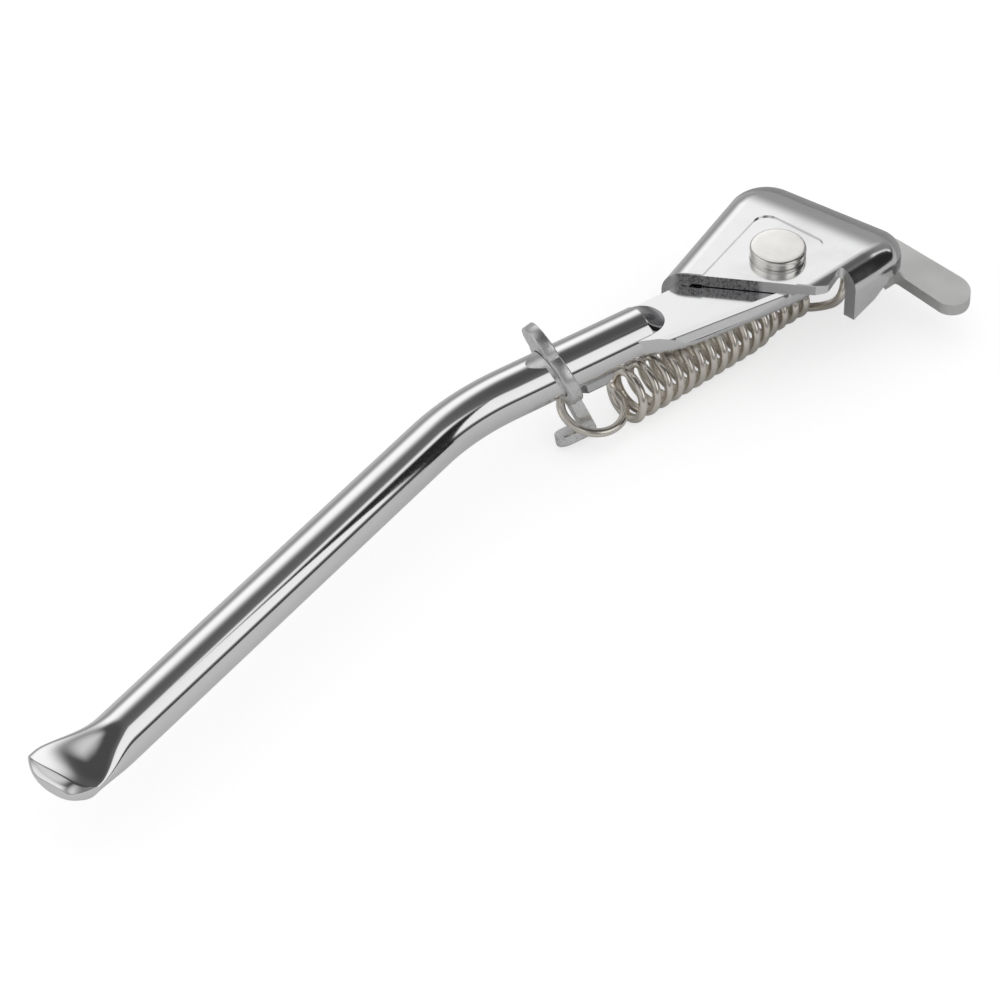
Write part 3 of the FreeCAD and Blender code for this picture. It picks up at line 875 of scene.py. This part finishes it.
class STAND_OT_leg(bpy.types.Operator):
    """Makes the forged leg: rod with nose, bend and pressed foot, bevelled blade, and stop lug"""

    bl_idname = "stand.leg"
    bl_label = "Leg"

    def execute(self, context):
        settings = context.scene.stand_leg
        chrome = tuple(context.scene.stand_head.chrome)
        rod = surface("leg_rod", to_row(rod_rings(settings)), crease=38.0)
        blade = surface("leg_blade", to_row(blade_rings(settings)))
        bored(blade, RIVET_HOLE, 11.0)
        lug = surface("lug_fin", to_row(lug_rings(settings)), crease=25.0)
        worn = dimmed(chrome, 0.95)
        polished = Metal("Leg chrome", chrome, worn, 0.055, 0.06, 500.0, 1e-6)
        polished.specks((0.60, 0.60, 0.61), 1900.0, 0.25, 8e-7, 0.08)
        # Painted reflection: the nose is painted dark, standing in for the dark it mirrors
        along = polished.line(*LEG_WAY, LEG_PIVOT)
        nose = ramp(polished.tree, along, (NOSE_END - 0.6) * MM, (NOSE_END + 0.4) * MM, 1.0, 0.0)
        polished.paint(nose, (0.34, 0.34, 0.35), 0.08)
        coat(rod, "leg_chrome", polished.done())
        # Painted shade: the blade is the rod's chrome made darker, for the light on its flat top
        flat = Metal("Blade chrome", (0.86, 0.86, 0.865), worn, 0.10, 0.06, 500.0, 6e-7)
        coat(blade, "leg_chrome", flat.done())
        grey, dark = (0.48, 0.48, 0.485), (0.42, 0.42, 0.43)
        coat(lug, "lug_chrome", Metal("Lug chrome", grey, dark, 0.30, 0.1, 900.0, 3e-6).done())
        dress(rod, "leg", "leg")
        dress(blade, "leg")
        dress(lug, "leg", "stop_lug")
        return {"FINISHED"}


# Spring

# Ends of the coil's axis
COIL_START = np.array((-18.4, -57.6, -25.0))
COIL_STOP = np.array((0.6, 12.5, -24.5))
PER_TURN = 12
PITCH = 4.52
# Wider gap at the coil's first turns, and how far its last ones draw in
LEAD_IN = 2.1
DRAWN_IN = 1.9
# Loop's middle, back along the axis, aside and up from the coil's start, and its plane's tilt
LOOP_MIDDLE = (10.2, 3.0, 0.3)
LOOP_TILT = math.radians(-14.0)
# Hook's way from the coil up to the wall's hole, and through it
HOOK_BENDS = np.array((
    (6.0, 14.4, -28.9), (9.6, 15.0, -26.9), (12.6, 15.0, -24.2), (14.4, 15.2, -21.0),
    (14.7, 16.4, -17.8), (13.2, 19.5, -15.0), (11.0, 24.5, -13.5),
))
HOOK_HOLE = np.array((9.5, 29.6, -13.0))
HOOK_END = HOOK_HOLE + np.array(((0.0, 1.4, 0.0), (1.6, 4.4, 0.4), (5.0, 4.9, 0.4)))


def spring_route(settings):
    """Route of the wire: a loop, coils that open towards it, a long hook; and the hook's start.

    Loop: part of a circle on a tilted plane. Coil: turns about the axis, an even pitch plus a
    share that dies away by an exponential; the last turns draw in by a smoother step, to pass
    under the ear when the leg folds.
    """
    axis = (COIL_STOP - COIL_START) / np.linalg.norm(COIL_STOP - COIL_START)
    side = np.cross(axis, UP)
    side /= np.linalg.norm(side)
    over = np.cross(side, axis)
    across = side * math.cos(LOOP_TILT) + over * math.sin(LOOP_TILT)
    back, aside, up = LOOP_MIDDLE
    centre = COIL_START - axis * back - side * aside + UP * up
    a = np.radians(-95.0 - 272.0 * np.arange(10) / 9)[:, None]
    loop = centre + (settings.loop_radius / MM) * (axis * np.cos(a) + across * np.sin(a))
    turns = np.arange(-5, settings.coils * PER_TURN + 11)[:, None] / PER_TURN
    turn = 2 * math.pi * turns + math.radians(-20.0)
    ring = side * np.cos(turn) + over * np.sin(turn)
    even = np.where(turns > 0, PITCH * turns, -2.0 * turns)
    ahead = even + LEAD_IN * (1 - np.exp(-np.maximum(turns, 0) / 1.1)) + 0.4
    reach = settings.coil_radius / MM - DRAWN_IN * ease((turns - 10.0) / 3.0)
    coil = COIL_START + axis * ahead + ring * reach
    return np.concatenate((loop, coil, HOOK_BENDS, HOOK_END)), len(loop) + len(coil) - 1


class STAND_OT_spring(bpy.types.Operator):
    """Winds the tension spring as a swept wire; its hook bends between the head and the coils"""

    bl_idname = "stand.spring"
    bl_label = "Tension spring"

    def execute(self, context):
        settings = context.scene.stand_spring
        route, last = spring_route(settings)
        line = smooth_route(route, settings.per_span)
        rings = to_row(tube_rings(line, settings.wire_radius / MM, settings.around))
        cut = last * settings.per_span
        wire = surface("spring_wire", rings[:cut + 1], crease=50.0)
        hook = surface("spring_hook", rings[cut:], crease=50.0)
        colour = tuple(settings.colour)
        worn = dimmed(colour, 0.86)
        nickel = Metal("Spring nickel", colour, worn, 0.18, 0.14, 900.0, 3e-6)
        nickel.specks((0.42, 0.37, 0.31), 1100.0, 0.24, 4e-6, 0.1)
        made = nickel.done()
        coat(wire, "spring_nickel", made)
        coat(hook, "spring_nickel", made)
        dress(wire, "spring", "tension_spring")
        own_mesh(wire)
        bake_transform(hook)
        return {"FINISHED"}


# Clip

# Place on the upper leg and turn in plan
CLIP_AT = 81.0
CLIP_YAW = math.radians(-4.4)
# Hole for the rod, and rounding of the plate's edge
ROD_HOLE = 8.2
EDGE_ROUND = 0.55
# Lobe and arm, to the right and down from the rod's middle, and the arm's half width
LOBE = np.array((-3.2, -9.2))
LOBE_RADIUS = 7.9
ARM = np.array((5.6, 21.8))
ARM_HALF = 3.0


def clip_basis(settings, leg):
    """Middle of the plate on the rod, its way to the foot, and its right and down."""
    yaw = leg.angle + CLIP_YAW
    to_foot = ray(yaw) * math.cos(settings.lean) - UP * math.sin(settings.lean)
    right = ray(yaw + math.pi / 2)
    middle = leg_place(leg, CLIP_AT, ROD_SIDE, ROD_HEIGHT)
    return middle, to_foot, right, np.cross(right, to_foot)


def plate_edge(settings, turn):
    """Distance of the plate's outline from its middle, by angle: the largest of three shapes.

    Ring: a radius. Lobe: where a ray leaves a circle. Arm: where it leaves a strip with a cap.
    """
    way = np.stack((np.cos(turn), np.sin(turn)), axis=-1)
    ring = np.full(len(turn), settings.ring_radius / MM)
    along, off = way @ LOBE, way @ np.array((-LOBE[1], LOBE[0]))
    lobe = along + np.sqrt(np.maximum(LOBE_RADIUS ** 2 - off ** 2, 0.0))
    lobe = np.where(np.abs(off) < LOBE_RADIUS, lobe, 0.0)
    length = np.linalg.norm(ARM)
    cos, sin = way @ ARM / length, np.abs(way @ np.array((-ARM[1], ARM[0])) / length)
    cap = length * cos + np.sqrt(np.maximum(ARM_HALF ** 2 - (length * sin) ** 2, 0.0))
    strip = np.minimum(ARM_HALF / np.maximum(sin, 1e-6), cap)
    arm = np.where(cos > 0, np.where(length * sin < ARM_HALF, cap, strip), 0.0)
    return np.maximum(np.maximum(ring, lobe), arm)


def clip_rings(settings, leg):
    """Plate ring: a rounded bar section between the rod's hole and the outline, carried round.

    The outline is softened by a triangular running mean; the hole follows the leaning rod.
    """
    middle, to_foot, right, down = clip_basis(settings, leg)
    count = 480
    turn = np.arange(count) / count * 2 * math.pi
    outer = plate_edge(settings, turn)
    smooth = np.array([np.roll(outer, k) for k in range(-3, 4)])
    outer = np.tensordot(np.array((1, 2, 3, 4, 3, 2, 1)) / 16, smooth, axes=1)
    leaning = np.sin(turn) * math.cos(settings.lean)
    inner = ROD_HOLE / np.sqrt(np.cos(turn) ** 2 + leaning ** 2)
    half = settings.thickness / MM / 2
    upper = [(EDGE_ROUND, half)]
    for a in np.radians((30, 60)):
        upper.append((EDGE_ROUND * (1 - math.sin(a)), half - EDGE_ROUND * (1 - math.cos(a))))
    upper.append((0.0, half - EDGE_ROUND))
    rim = upper + [(back, -height) for back, height in reversed(upper)]
    rod_way = ray(leg.angle)
    through = rod_way / rod_way.dot(to_foot)
    flat = right * np.cos(turn)[:, None] + down * np.sin(turn)[:, None]
    rows = [middle + flat * inner[:, None] + through * height for height in (-half, half)]
    rows += [middle + flat * (outer - back)[:, None] + to_foot * height for back, height in rim]
    return np.stack(rows, axis=1)


def tab_rings(settings, leg):
    """Tab at the arm's end: a rounded bar section along the rod, drawn in at its end."""
    middle, _, right, down = clip_basis(settings, leg)
    end = middle + right * ARM[0] + down * ARM[1]
    arm = (right * ARM[0] + down * ARM[1]) / np.linalg.norm(ARM)
    way = ray(leg.angle)
    deep = arm - way * arm.dot(way)
    deep /= np.linalg.norm(deep)
    across = np.cross(deep, way)
    s = np.array((-1.0, -0.8, 0.0, 5.0, 8.6, 9.8, 10.7, 11.2, 11.4))
    wide = np.array((2.8, 3.0, 3.0, 3.0, 3.0, 2.75, 2.2, 1.5, 0.8))
    half = settings.thickness / MM / 2
    corners = (
        (-1.0, -0.8), (-1.0, 0.6), (-0.85, 0.9), (-0.6, 1.0), (0.6, 1.0),
        (0.85, 0.9), (1.0, 0.6), (1.0, -0.8), (0.85, -1.0), (-0.85, -1.0),
    )
    base = end + arm * (ARM_HALF - half) + way * s[:, None]
    rows = [base + across * (wide * x)[:, None] + deep * (half * y) for x, y in corners]
    return np.stack(rows, axis=1)


class STAND_OT_clip(bpy.types.Operator):
    """Stamps the spring hook plate: ring on the rod, lobe, arm and tab"""

    bl_idname = "stand.clip"
    bl_label = "Hook plate"

    def execute(self, context):
        settings = context.scene.stand_clip
        leg = context.scene.stand_leg
        plate = surface("clip_plate", to_row(clip_rings(settings, leg)), loop=True, crease=40.0)
        tab = surface("clip_tab", to_row(tab_rings(settings, leg)), crease=35.0)
        colour = tuple(settings.zinc)
        zinc = Metal("Plate zinc", colour, dimmed(colour, 0.8), 0.24, 0.14, 900.0, 6e-6)
        zinc.specks((0.34, 0.34, 0.35), 800.0, 0.36, 3e-5, 0.2)
        made = zinc.done()
        coat(plate, "plate_zinc", made)
        coat(tab, "plate_zinc", made)
        dress(plate, "leg", "spring_hook_plate")
        dress(tab, "leg")
        return {"FINISHED"}


# Studio

# Soft panels in degrees: bearing from and to, rise from and to, softness of each, level
PANELS = {
    "right": ((20, 112), (11, 47), (4, 2.5), 0.70),
    "left": ((-68, -18), (22, 50), (16, 10), 0.84),
    "back": ((150, 175), (10, 60), (20, 14), 0.5),
    "top_left": ((-150, -85), (40, 72), (18, 10), 0.55),
    "back_left": ((-170, -110), (12, 45), (14, 8), 0.6),
}
DARKEST = 0.03
WHITE = (1.0, 1.0, 1.0, 1.0)
# Black card: its place in x, its ends in y, its top, and where it fades out below the top
CARD_X = 0.26
CARD_Y = (0.03, 0.45)
CARD_TOP = 0.55
CARD_FADE = (0.33, 0.47)


def studio_panels(tree, bearing, rise):
    """Level of the soft panels: each is a window in bearing times a window in rise."""
    lit = {}
    for name, (az, el, soft, level) in PANELS.items():
        across = window(tree, bearing, *az, soft[0])
        upright = window(tree, rise, *el, soft[1])
        lit[name] = maths(tree, "MULTIPLY", maths(tree, "MULTIPLY", across, upright), level)
    front = maths(tree, "ADD", lit["right"], lit["left"])
    behind = maths(tree, "MAXIMUM", lit["back_left"], lit["top_left"])
    return maths(tree, "ADD", front, maths(tree, "ADD", lit["back"], behind))


def studio_world(settings):
    """White to the camera; to mirrors a studio of soft panels; to matt surfaces an even dome."""
    world = bpy.data.worlds.new("Studio")
    world.use_nodes = True
    tree = world.node_tree
    tree.nodes.clear()
    way = node(tree, "ShaderNodeTexCoord").outputs["Generated"]
    parts = node(tree, "ShaderNodeSeparateXYZ", {0: way}).outputs
    rise = maths(tree, "MULTIPLY", maths(tree, "ARCSINE", parts[2]), 180 / math.pi)
    around = maths(tree, "ARCTAN2", parts[0], parts[1])
    bearing = maths(tree, "MULTIPLY", around, 180 / math.pi)

    room = ramp(tree, rise, 30.0, 70.0, 0.22, 0.07)
    leftward = ramp(tree, bearing, -20.0, 20.0, 0.12, 0.0)
    low_left = maths(tree, "MULTIPLY", leftward, ramp(tree, rise, 0.0, 40.0, 1.0, 0.0))
    rightward = ramp(tree, bearing, -10.0, 30.0, 0.0, 0.16)
    horizon = maths(tree, "MULTIPLY", window(tree, rise, -3.0, 7.0, 2.0), rightward)
    total = studio_panels(tree, bearing, rise)
    total = maths(tree, "ADD", total, maths(tree, "ADD", room, low_left))
    total = maths(tree, "SUBTRACT", total, horizon)
    below = ramp(tree, rise, -4.0, -2.0, 0.4, 0.0)
    total = maths(tree, "MAXIMUM", total, maths(tree, "MAXIMUM", below, DARKEST))

    path = node(tree, "ShaderNodeLightPath").outputs
    level = maths(tree, "MULTIPLY", path["Is Diffuse Ray"], settings.dome)
    level = maths(tree, "ADD", level, path["Is Camera Ray"])
    level = maths(tree, "ADD", level, maths(tree, "MULTIPLY", path["Is Glossy Ray"], total))
    sky = node(tree, "ShaderNodeBackground", {"Color": WHITE, "Strength": level})
    node(tree, "ShaderNodeOutputWorld", {"Surface": sky.outputs[0]})
    return world


def stage_parts(tree):
    """Kinds of ray that see a stage sheet, and the place on it by axes."""
    path = node(tree, "ShaderNodeLightPath").outputs
    place = node(tree, "ShaderNodeTexCoord").outputs["Object"]
    return path, node(tree, "ShaderNodeSeparateXYZ", {0: place}).outputs


def floor_material():
    """White to the camera with a soft shadow; in mirrors pale in front, darker behind."""
    made, tree = empty_material("Studio floor")
    path, parts = stage_parts(tree)
    front = maths(tree, "MULTIPLY_ADD", parts[1], -1.0, maths(tree, "MULTIPLY", parts[0], 0.35))
    tone = ramp(tree, front, -0.25, 0.25, 0.42, 0.58)
    mirrored = node(tree, "ShaderNodeCombineColor", {0: tone, 1: tone, 2: tone}).outputs[0]
    matt = node(tree, "ShaderNodeBsdfDiffuse", {"Color": mirrored})
    shade = node(tree, "ShaderNodeBsdfDiffuse", {"Color": (0.40, 0.40, 0.40, 1.0)})
    glow = node(tree, "ShaderNodeEmission", {"Color": WHITE, "Strength": 0.66})
    seen = node(tree, "ShaderNodeAddShader", {0: shade.outputs[0], 1: glow.outputs[0]})
    both = node(
        tree,
        "ShaderNodeMixShader",
        {0: path["Is Camera Ray"], 1: matt.outputs[0], 2: seen.outputs[0]},
    )
    node(tree, "ShaderNodeOutputMaterial", {"Surface": both.outputs[0]})
    return made


def card_material():
    """Black to mirrors, fading out towards the card's top; clear to everything else."""
    made, tree = empty_material("Black card")
    path, parts = stage_parts(tree)
    fade = ramp(tree, parts[2], *CARD_FADE, 1.0, 0.0)
    share = maths(tree, "MULTIPLY", path["Is Glossy Ray"], fade)
    clear = node(tree, "ShaderNodeBsdfTransparent")
    black = node(tree, "ShaderNodeEmission", {"Color": (0.02, 0.02, 0.021, 1.0), "Strength": 1.0})
    both = node(
        tree, "ShaderNodeMixShader", {0: share, 1: clear.outputs[0], 2: black.outputs[0]}
    )
    node(tree, "ShaderNodeOutputMaterial", {"Surface": both.outputs[0]})
    return made


def stage_sheet(name, corners, material):
    """Flat sheet on the stage."""
    mesh = bpy.data.meshes.new(name)
    mesh.from_pydata(corners, [], [tuple(range(len(corners)))])
    mesh.materials.append(material)
    sheet = linked(name, mesh)
    sheet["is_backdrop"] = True


class STAND_OT_stage(bpy.types.Operator):
    """Sets the floor, the black card, the studio light and the camera"""

    bl_idname = "stand.stage"
    bl_label = "Studio"

    def execute(self, context):
        settings = context.scene.stand_stage
        scene = context.scene
        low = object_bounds()[0].z
        half = settings.floor_size / 2
        square = [(-half, -half, low), (half, -half, low), (half, half, low), (-half, half, low)]
        stage_sheet("studio_floor", square, floor_material())
        foot = low + 0.001
        outline = zip(CARD_Y + CARD_Y[::-1], (foot, foot, CARD_TOP, CARD_TOP))
        card = [(CARD_X, y, z) for y, z in outline]
        stage_sheet("black_card", card, card_material())
        scene.world = studio_world(settings)
        data = bpy.data.cameras.new("photo_camera")
        data.lens = settings.lens
        data.sensor_width = 36.0
        data.clip_end = 50.0
        camera = linked("photo_camera", data)
        camera.location = settings.place
        camera.rotation_mode = "QUATERNION"
        camera.rotation_quaternion = Vector(settings.look).to_track_quat("-Z", "Y")
        scene.camera = camera
        scene.view_settings.view_transform = "Standard"
        return {"FINISHED"}


class STAND_PT_panel(bpy.types.Panel):
    """Lists the pieces of the side stand"""

    bl_idname = "STAND_PT_panel"
    bl_label = "Side stand"
    bl_space_type = "VIEW_3D"
    bl_region_type = "UI"
    bl_category = "Side stand"

    def draw(self, context):
        for item in PIECES:
            self.layout.operator(item.bl_idname)


SETTINGS = (
    ("stand_head", HeadSettings),
    ("stand_leg", LegSettings),
    ("stand_spring", SpringSettings),
    ("stand_clip", ClipSettings),
    ("stand_stage", StageSettings),
)
PIECES = (
    STAND_OT_head, STAND_OT_rivet, STAND_OT_leg,
    STAND_OT_spring, STAND_OT_clip, STAND_OT_stage,
)
CLASSES = tuple(kind for _, kind in SETTINGS) + PIECES + (STAND_PT_panel,)


def register():
    """Adds the classes, and their settings to the scene."""
    for item in CLASSES:
        bpy.utils.register_class(item)
    for name, kind in SETTINGS:
        setattr(bpy.types.Scene, name, PointerProperty(type=kind))


def unregister():
    """Takes the settings and the classes away again."""
    for name, _ in SETTINGS:
        delattr(bpy.types.Scene, name)
    for item in reversed(CLASSES):
        bpy.utils.unregister_class(item)


def main():
    """Makes every piece and the stage."""
    register()
    bpy.ops.stand.head()
    bpy.ops.stand.rivet()
    bpy.ops.stand.leg()
    bpy.ops.stand.spring()
    bpy.ops.stand.clip()
    bpy.ops.stand.stage()


if __name__ == "__main__":
    main()
